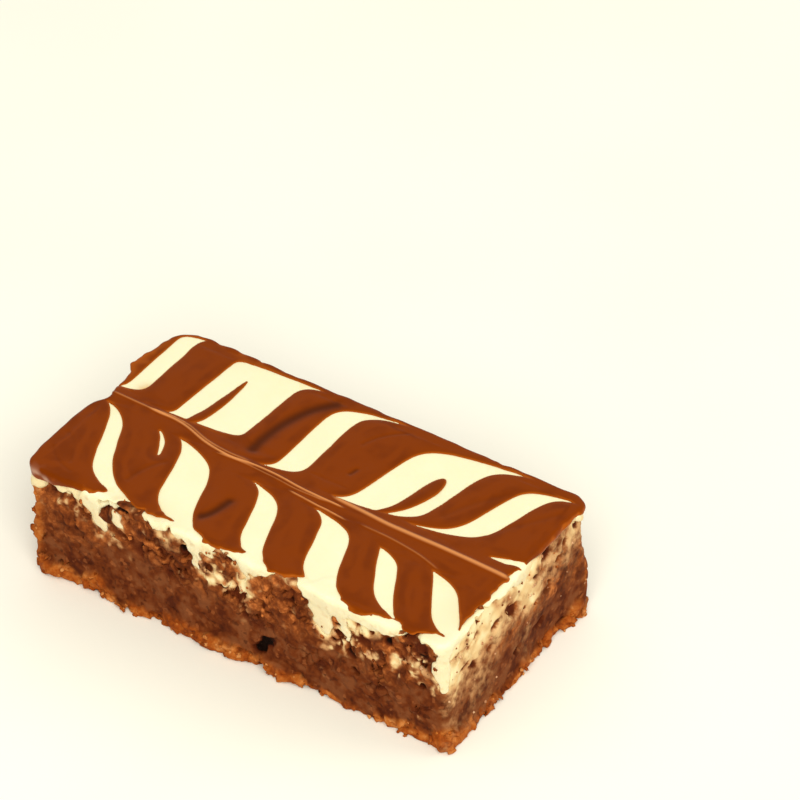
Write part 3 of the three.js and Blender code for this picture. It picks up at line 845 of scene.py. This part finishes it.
def mesh_points(mesh):
    """The mesh's points in millimetres."""
    places = np.zeros(3*len(mesh.vertices), np.float32)
    mesh.vertices.foreach_get("co", places)
    return places.reshape(-1, 3)/MM


def add_attribute(mesh, name, values):
    attribute = mesh.attributes.new(name, "FLOAT", "POINT")
    attribute.data.foreach_set("value", values.astype(np.float32))


def grid_values(axes, values, places):
    """Values on a grid at given places, smoothed between its points."""
    low = np.array([axis[0] for axis in axes])
    step = np.array([axis[1] - axis[0] for axis in axes])
    last = np.array([len(axis) - 2 for axis in axes])
    places = np.clip((places - low)/step, 0, last)
    cells = np.floor(places).astype(int)
    part = places - cells
    mixed = np.zeros(len(places))
    for corner in CORNERS:
        mixed += np.where(corner, part, 1 - part).prod(1)*values[tuple((cells + corner).T)]
    return mixed


def build_piece(name, field, axes, arrays, cover, fine=None):
    """A piece from its field, with named values on its points.

    Where cover is above 0, other pieces hide it. Where fine is above 0, it keeps all its points."""
    points, quads = largest_island(*surface_net(field, axes))
    weights = np.where(grid_values(axes, cover, points) > 0, 1.0, SHOWN_THINNING)
    if fine is not None:
        weights[grid_values(axes, fine, points) > 0] = 0
    piece = thinned(mesh_object(name, points, quads), TRIANGLES[name], weights)
    places = mesh_points(piece.data)
    for key, values in arrays.items():
        add_attribute(piece.data, key, grid_values(axes, values, places))
    return piece


def end_film(axes):
    """Cream smeared down the right end, thinner towards the foot."""
    x, y, z = spread(axes)
    share = np.interp(y + WIDTH/2, END_FILM["y"], END_FILM["share"])
    return smooth_step(-2.5, -0.5, x - LENGTH/2)*share*np.interp(z, END_FILM["z"], END_FILM["cover"])


def cream_film(axes, cream, relief):
    """How much cream is smeared over the crumb, from 0 to 1: under the icing and in patches, not in pits."""
    gap = np.maximum(cream, 0)
    streaks = grid_noise((axes[0], axes[1], axes[2]/1.6), 0.75, 53) + 0.7*grid_noise(axes, 0.5, 54)
    where = 0.3*smooth_step(8.0, 1.0, gap) + 0.75*summed_bumps(axes, FLECKS, "share")
    flecks = np.minimum(where*smooth_step(0.0, 1.6, streaks), MOST_FLECK)
    patches = 0.45*np.exp(-gap/0.45) + flecks + summed_bumps(axes, FILMS, "cover")
    uneven = 0.3*grid_noise(axes, 1.5, 51) + 0.25*grid_noise(axes, 0.7, 52)
    film = patches*(0.9 + uneven) + end_film(axes)*(0.95 + 0.5*uneven)
    return np.clip(film, 0, 1)*smooth_step(-0.6, -0.3, relief)


def build_layers():
    """The cake and the cream on it."""
    axes = grid_axes(*LAYER_GRID)
    cream = cream_field(axes)
    cake, arrays = cake_field(axes, cream)
    arrays["film"] = cream_film(axes, cream, arrays["relief"])
    edge = swirl_distance(axes)*np.ones_like(spread(axes)[2])
    dirt = np.exp(-np.maximum(cake, 0)/0.8)
    x, y, z = spread(axes)
    stain = sum(plan_bump(x, y, place) for place in STAINS)*np.ones_like(z)
    underside = np.minimum(0.3 - z, -outline_distance(x, y) - 1.5)
    cake_piece = build_piece("cake", cake, axes, arrays, np.maximum(-cream - COVERED_DEPTH, underside))
    coated = np.minimum(-edge - COVERED_DEPTH, z - CREAM_TOP + 1.0)
    # Painted shade: the cream's sides are coloured darker than its top. The same value places smudges of
    # crumb on them.
    side = smooth_step(CREAM_TOP - 0.4, CREAM_TOP - 1.6, z)*np.ones_like(edge)
    values = {"edge": edge, "dirt": dirt, "stain": stain, "side": side}
    return cake_piece, build_piece("cream", cream, axes, values, np.maximum(-cake - COVERED_DEPTH, coated))


def crumb_ball():
    """Points and triangles of a ball of radius 1 that each crumb is shaped from."""
    ball = bmesh.new()
    bmesh.ops.create_icosphere(ball, subdivisions=2, radius=1)
    points = np.array([point.co for point in ball.verts])
    faces = np.array([[point.index for point in face.verts] for face in ball.faces])
    ball.free()
    return points, faces


def turned(points, draws):
    """The points turned at random, once for each row of four draws."""
    w, a, b, c = (draws/np.linalg.norm(draws, axis=1, keepdims=True)).T[:, :, None, None]
    u = np.concatenate([a, b, c], 2)
    cross = np.cross(u, points)
    return points + 2*(w*cross + np.cross(u, cross))


def mesh_values(mesh, name):
    values = np.zeros(len(mesh.vertices), np.float32)
    mesh.attributes[name].data.foreach_get("value", values)
    return values


def crumb_group(group, piece):
    """The points of a group of crumbs that lie on the sides of a piece, and each crumb's shade."""
    draws = np.random.default_rng(group["seed"])
    many = group["many"]
    places = mesh_points(piece.data)
    on_side = outline_distance(places[:, 0], places[:, 1]) > -CRUMB_BAND
    chance = np.maximum(mesh_values(piece.data, group["by"]), 0).astype(float)**2*on_side
    picked = draws.choice(len(places), many, replace=False, p=chance/chance.sum())
    least, most = group["radius"]
    radius = least + (most - least)*draws.random(many)**MORE_SMALL_CRUMBS
    ball, _ = crumb_ball()
    shape = ball*(1 + CRUMB_SHAPE["lumpy"]*draws.standard_normal((many, len(ball), 1)))
    shape = shape*draws.uniform(*CRUMB_SHAPE["stretch"], (many, 1, 3))*radius[:, None, None]
    points = places[picked][:, None, :] + turned(shape, draws.standard_normal((many, 4)))
    points[:, :, 2] = np.maximum(points[:, :, 2], CRUMB_SHAPE["lowest"])
    return points, draws.uniform(*group["shades"], many)


def build_crumbs(pieces):
    """All loose crumbs as one mesh, with the shade of each and whether it is browned or of cream."""
    ball, faces = crumb_ball()
    groups = [crumb_group(group, pieces[group["on"]]) for group in CRUMBS]
    points = np.concatenate([points for points, _ in groups])
    starts = len(ball)*np.arange(len(points))
    piece = mesh_object("crumbs", points.reshape(-1, 3), (faces[None] + starts[:, None, None]).reshape(-1, 3))
    values = {"shade": np.concatenate([shades for _, shades in groups])}
    many = [group["many"] for group in CRUMBS]
    for kind in ("rim", "cream"):
        values[kind] = np.repeat([float(group["kind"] == kind) for group in CRUMBS], many)
    for name, each in values.items():
        add_attribute(piece.data, name, np.repeat(each, len(ball)))
    return piece


def build_chocolate():
    axes = grid_axes(*CHOCOLATE_GRID)
    field, arrays = chocolate_field(axes)
    cover = -icing_skin(axes) - COVERED_DEPTH/2
    fine = np.minimum(arrays["dent"] + arrays["ridge"] - FINE_RELIEF, -cover)
    return build_piece("chocolate", field, axes, arrays, cover, fine)


# Materials

def tone(red, green, blue):
    """A colour given as it looks on a screen, from 0 to 255, as the shader's linear colour."""
    def linear(value):
        share = value/255
        return share/12.92 if share <= 0.04045 else ((share + 0.055)/1.055)**2.4
    return linear(red), linear(green), linear(blue), 1.0


class Shader:
    """A material with one main shader, and short ways to add the nodes that feed it."""

    def __init__(self, name):
        self.material = bpy.data.materials.new(name)
        self.material.use_nodes = True
        self.nodes = self.material.node_tree.nodes
        self.links = self.material.node_tree.links
        self.main = self.nodes["Principled BSDF"]
        self.place = self.nodes.new("ShaderNodeTexCoord").outputs["Object"]

    def put(self, socket, value):
        """Gives an input a value, the output of a node, or the values of that name on the mesh."""
        if isinstance(value, str):
            node = self.nodes.new("ShaderNodeAttribute")
            node.attribute_name = value
            value = node.outputs["Fac"]
        if isinstance(value, bpy.types.NodeSocket):
            self.links.new(value, socket)
        else:
            socket.default_value = value

    def set(self, **values):
        """Fills inputs of the main shader, with _ for each space in their names."""
        for name, value in values.items():
            self.put(self.main.inputs[name.replace("_", " ")], value)

    def node(self, kind, values):
        """A new node with its named inputs filled."""
        node = self.nodes.new("ShaderNode" + kind)
        for name, value in values.items():
            self.put(node.inputs[name], value)
        return node

    def noise(self, size_mm, detail, roughness=0.55):
        values = {"Scale": 1/(size_mm*MM), "Detail": detail, "Roughness": roughness, "Vector": self.place}
        return self.node("TexNoise", values).outputs["Fac"]

    def remap(self, source, low, high, to_low=0.0, to_high=1.0):
        values = {"Value": source, "From Min": low, "From Max": high, "To Min": to_low, "To Max": to_high}
        node = self.node("MapRange", values)
        node.interpolation_type = "SMOOTHSTEP"
        return node.outputs["Result"]

    def ramp(self, source, *stops):
        """Colours along a value. Each stop has its place, red, green and blue."""
        node = self.node("ValToRGB", {"Fac": source})
        elements = node.color_ramp.elements
        while len(elements) < len(stops):
            elements.new(1.0)
        for element, (position, *colour) in zip(elements, stops):
            element.position = position
            element.color = tone(*colour)
        return node.outputs["Color"]

    def mix(self, share, first, second):
        """Two colours mixed by a share."""
        node = self.nodes.new("ShaderNodeMix")
        node.data_type = "RGBA"
        sockets = {s.identifier: s for s in node.inputs}
        for identifier, value in (("Factor_Float", share), ("A_Color", first), ("B_Color", second)):
            self.put(sockets[identifier], value)
        return next(s for s in node.outputs if s.identifier == "Result_Color")

    def math(self, operation, first, second=0.0):
        node = self.nodes.new("ShaderNodeMath")
        node.operation = operation
        self.put(node.inputs[0], first)
        self.put(node.inputs[1], second)
        return node.outputs[0]

    def times(self, first, second):
        return self.math("MULTIPLY", first, second)

    def plus(self, first, second):
        return self.math("ADD", first, second)

    def grains(self, size_mm):
        """Packed grains: a random value for each, and the distance from its middle."""
        grains = self.node("TexVoronoi", {"Scale": 1/(size_mm*MM), "Vector": self.place})
        split = self.node("SeparateColor", {"Color": grains.outputs["Color"]})
        return split.outputs["Red"], grains.outputs["Distance"]

    def bump(self, height, distance_mm, strength):
        node = self.node("Bump", {"Height": height, "Distance": distance_mm*MM, "Strength": strength})
        self.set(Normal=node.outputs["Normal"])


def crumb_tones(shader, kind):
    """The browns of the crumb, from its darkest to its palest clumps."""
    return shader.ramp(kind, (0.1, 62, 23, 6), (0.4, 99, 45, 15), (0.65, 132, 67, 26), (0.9, 190, 110, 52))


def bit_tones(shader, kind):
    """The tones of bits of cream with crumb in them."""
    return shader.ramp(kind, (0.1, 172, 118, 80), (0.5, 210, 166, 124), (0.9, 232, 212, 168))


def rim_tones(shader, kind):
    """The browns of the baked rim."""
    return shader.ramp(kind, (0.1, 98, 39, 8), (0.4, 146, 68, 15), (0.7, 172, 96, 36), (0.95, 198, 132, 72))


def cake_material():
    """Moist brown crumb: grains of many browns, painted shade that darkens hollows and pits, orange at the
    rim, and films of cream.
    """
    shader = Shader("cake")
    relief = shader.remap("relief", -1.5, 0.7)
    cell, middle = shader.grains(0.75)
    soft = shader.remap(shader.noise(0.9, 2.0), 0.25, 0.75)
    kind = shader.plus(shader.times("clump", 0.5), shader.times(cell, 0.2))
    kind = shader.plus(kind, shader.times(soft, 0.3))
    blotch = shader.remap(shader.noise(4.0, 3.0), 0.3, 0.7)
    mottle = shader.remap(shader.noise(2.0, 2.0), 0.3, 0.7)
    dense = shader.plus(shader.times(blotch, 0.55), shader.times(mottle, 0.38))
    dense = shader.plus(dense, shader.times(cell, 0.07))
    fudge = shader.ramp(dense, (0.15, 74, 28, 7), (0.5, 100, 45, 14), (0.85, 114, 62, 31))
    speck, _ = shader.grains(0.6)
    fudge = shader.mix(shader.remap(speck, 0.92, 0.98, 0.0, 0.35), fudge, tone(160, 92, 48))
    fudge = shader.mix(shader.remap(speck, 0.03, 0.09, 0.5, 0.0), fudge, tone(50, 18, 5))
    body = shader.mix("crumbly", fudge, crumb_tones(shader, kind))
    body = shader.mix("rim", body, rim_tones(shader, kind))
    # Painted shade: darker in hollows and nearly black in deep pits, by the relief value.
    body = shader.mix(shader.remap(relief, 0.25, 0.6, 0.9, 0.0), body, tone(78, 28, 7))
    body = shader.mix(shader.remap(relief, 0.02, 0.3, 1.0, 0.0), body, tone(18, 6, 2))
    smear = shader.ramp(
        "film", (0.1, 150, 90, 44), (0.45, 192, 143, 94), (0.75, 214, 182, 128), (0.97, 227, 210, 161))
    break_up = shader.remap(shader.noise(1.3, 4.0, 0.65), 0.25, 0.75, -0.22, 0.22)
    cover = shader.plus("film", shader.times(break_up, shader.remap("film", 0.05, 0.4)))
    body = shader.mix(shader.remap(cover, 0.1, 0.7), body, smear)
    shader.set(Base_Color=body, Roughness=0.7, Specular_IOR_Level=0.05)
    shader.bump(shader.math("SUBTRACT", 1.0, middle), 0.2, 0.25)
    return shader.material


def crumbs_material():
    """Crumbs in the browns of the crumb or of the rim, each in its own shade."""
    shader = Shader("crumbs")
    kind = shader.plus("shade", shader.remap(shader.noise(0.35, 2.0), 0.3, 0.7, -0.15, 0.15))
    body = shader.mix("rim", crumb_tones(shader, kind), rim_tones(shader, kind))
    body = shader.mix("cream", body, bit_tones(shader, kind))
    shader.set(Base_Color=body, Roughness=0.7, Specular_IOR_Level=0.05)
    shader.bump(shader.noise(0.3, 2.0), 0.1, 0.4)
    return shader.material


def cream_material():
    """Smooth pale cream, a little translucent, with painted shade on its sides and crumb in its lower edge.
    """
    shader = Shader("cream")
    tint = shader.remap(shader.noise(5.0, 2.0), 0.3, 0.7)
    pale = shader.mix(tint, tone(237, 233, 193), tone(235, 231, 189))
    # Painted shade: the cream's sides are darker than its top.
    pale = shader.mix("side", pale, tone(224, 216, 178))
    smudge = shader.remap(shader.noise(1.2, 3.0, 0.6), 0.52, 0.72, 0.0, 0.55)
    pale = shader.mix(shader.times(smudge, "side"), pale, tone(206, 170, 120))
    near = shader.remap("edge", -0.1, 0.35, 1.0, 0.0)
    pale = shader.mix(shader.times(near, 0.25), pale, tone(232, 196, 110))
    pale = shader.mix(shader.times("stain", 0.8), pale, tone(216, 160, 84))
    pale = shader.mix(shader.times("dirt", 0.5), pale, tone(214, 184, 132))
    shader.set(Base_Color=pale, Roughness=0.42, Specular_IOR_Level=0.2)
    shader.set(Subsurface_Weight=0.15, Subsurface_Scale=0.0006, Subsurface_Radius=(1.0, 0.85, 0.5))
    shader.bump(shader.noise(1.2, 2.0), 0.1, 0.15)
    return shader.material


def chocolate_material():
    """Set milk chocolate: satin, thin and orange at the edges of the plumes, with painted shade in light and
    dark bands along the strokes and in the dents, and painted highlights on the spine ridges and in pale
    patches.
    """
    shader = Shader("chocolate")
    # Painted shade and sheen: light and dark bands along the strokes stand in for the shading of low ridges
    # and dips.
    sway = shader.times(shader.noise(7.0, 2.0), 9.0)
    bands = shader.math("SINE", shader.plus(shader.times("edge", 2.6), sway))
    patches = shader.remap(shader.noise(5.0, 2.0), 0.35, 0.65)
    streak = shader.times(shader.remap(bands, -1.0, 1.0), patches)
    brown = shader.mix(streak, tone(123, 50, 0), tone(111, 43, 0))
    # Painted shade: darker in the dents.
    brown = shader.mix(shader.remap("dent", 0.0, 0.26), brown, tone(66, 23, 2))
    # Painted highlight: paler along the tops of the spine ridges.
    brown = shader.mix(shader.remap("ridge", 0.04, 0.26), brown, tone(206, 134, 76))
    # Painted highlight: pale patches near the front left corner.
    brown = shader.mix(shader.times("painted_highlight", 0.7), brown, tone(190, 152, 128))
    thin = shader.math("MAXIMUM", shader.remap("edge", -0.4, 0.03), "worn")
    brown = shader.mix(shader.times(thin, 0.6), brown, tone(176, 88, 16))
    shader.set(Base_Color=brown, Roughness=0.32, Specular_IOR_Level=0.1, Specular_Tint=(1.0, 0.6, 0.28, 1.0))
    shader.bump(shader.noise(0.8, 2.0), 0.05, 0.15)
    return shader.material


def floor_material():
    shader = Shader("floor")
    soft = shader.remap(shader.noise(60.0, 1.0), 0.3, 0.7)
    body = shader.mix(soft, tone(247, 244, 229), tone(245, 242, 226))
    shader.set(Base_Color=body, Roughness=0.6, Specular_IOR_Level=0.1)
    return shader.material


# The pieces on the frame

def dress(piece, material, node):
    piece.data.materials.clear()
    piece.data.materials.append(material)
    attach(piece, "root")
    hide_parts(node)


cake, cream = build_layers()
crumbs = build_crumbs({"cake": cake, "cream": cream})
dress(cake, cake_material(), "brownie_base")
dress(crumbs, crumbs_material(), "brownie_base")
dress(cream, cream_material(), "icing")
dress(build_chocolate(), chocolate_material(), "icing")


# Stage, light and camera

LIGHT_TINT = (1.0, 0.985, 0.95)


def add_floor(half_width):
    mesh = bpy.data.meshes.new("floor")
    low, high = -half_width, half_width
    corners = [(low, low, 0), (high, low, 0), (high, high, 0), (low, high, 0)]
    mesh.from_pydata(corners, [], [(0, 1, 2, 3)])
    mesh.materials.append(floor_material())
    floor = new_object("floor", mesh)


def add_light(name, place, size, power):
    data = bpy.data.lights.new(name, "AREA")
    data.shape = "DISK"
    data.size = size
    data.energy = power
    data.color = LIGHT_TINT
    light = new_object(name, data)
    light.location = place
    light.rotation_euler = (-Vector(place)).to_track_quat("-Z", "Y").to_euler()


def add_world(strength):
    world = bpy.data.worlds.new("studio")
    world.use_nodes = True
    background = world.node_tree.nodes["Background"]
    background.inputs["Color"].default_value = (*LIGHT_TINT, 1.0)
    background.inputs["Strength"].default_value = strength
    bpy.context.scene.world = world


def add_camera():
    """The camera that sees the bar as the photograph does."""
    azimuth, elevation, roll = (math.radians(angle) for angle in CAMERA.values())
    flat = math.cos(elevation)
    back = Vector((math.sin(azimuth)*flat, -math.cos(azimuth)*flat, math.sin(elevation)))
    level = Vector((math.cos(azimuth), math.sin(azimuth), 0))
    upright = back.cross(level)
    right = math.cos(roll)*level + math.sin(roll)*upright
    up = math.cos(roll)*upright - math.sin(roll)*level
    data = bpy.data.cameras.new("camera")
    data.sensor_width = SENSOR_MM
    data.lens = SENSOR_MM*FOCAL_PIXELS/IMAGE_PIXELS
    data.clip_start = 0.01
    camera = new_object("camera", data)
    camera.matrix_world = Matrix((right, up, back)).transposed().to_4x4()
    distance, over, above = CAMERA_PLACE.values()
    camera.location = (back*distance + right*over + up*above)*MM
    bpy.context.scene.camera = camera


add_floor(half_width=2.0)
add_light("key", place=(0.5, -0.65, 0.8), size=0.9, power=10.8)
add_light("back", place=(0.75, 0.45, 0.5), size=0.5, power=1.5)
add_world(strength=0.69)
add_camera()
bpy.context.scene.view_settings.view_transform = "Standard"

bpy.context.view_layer.update()
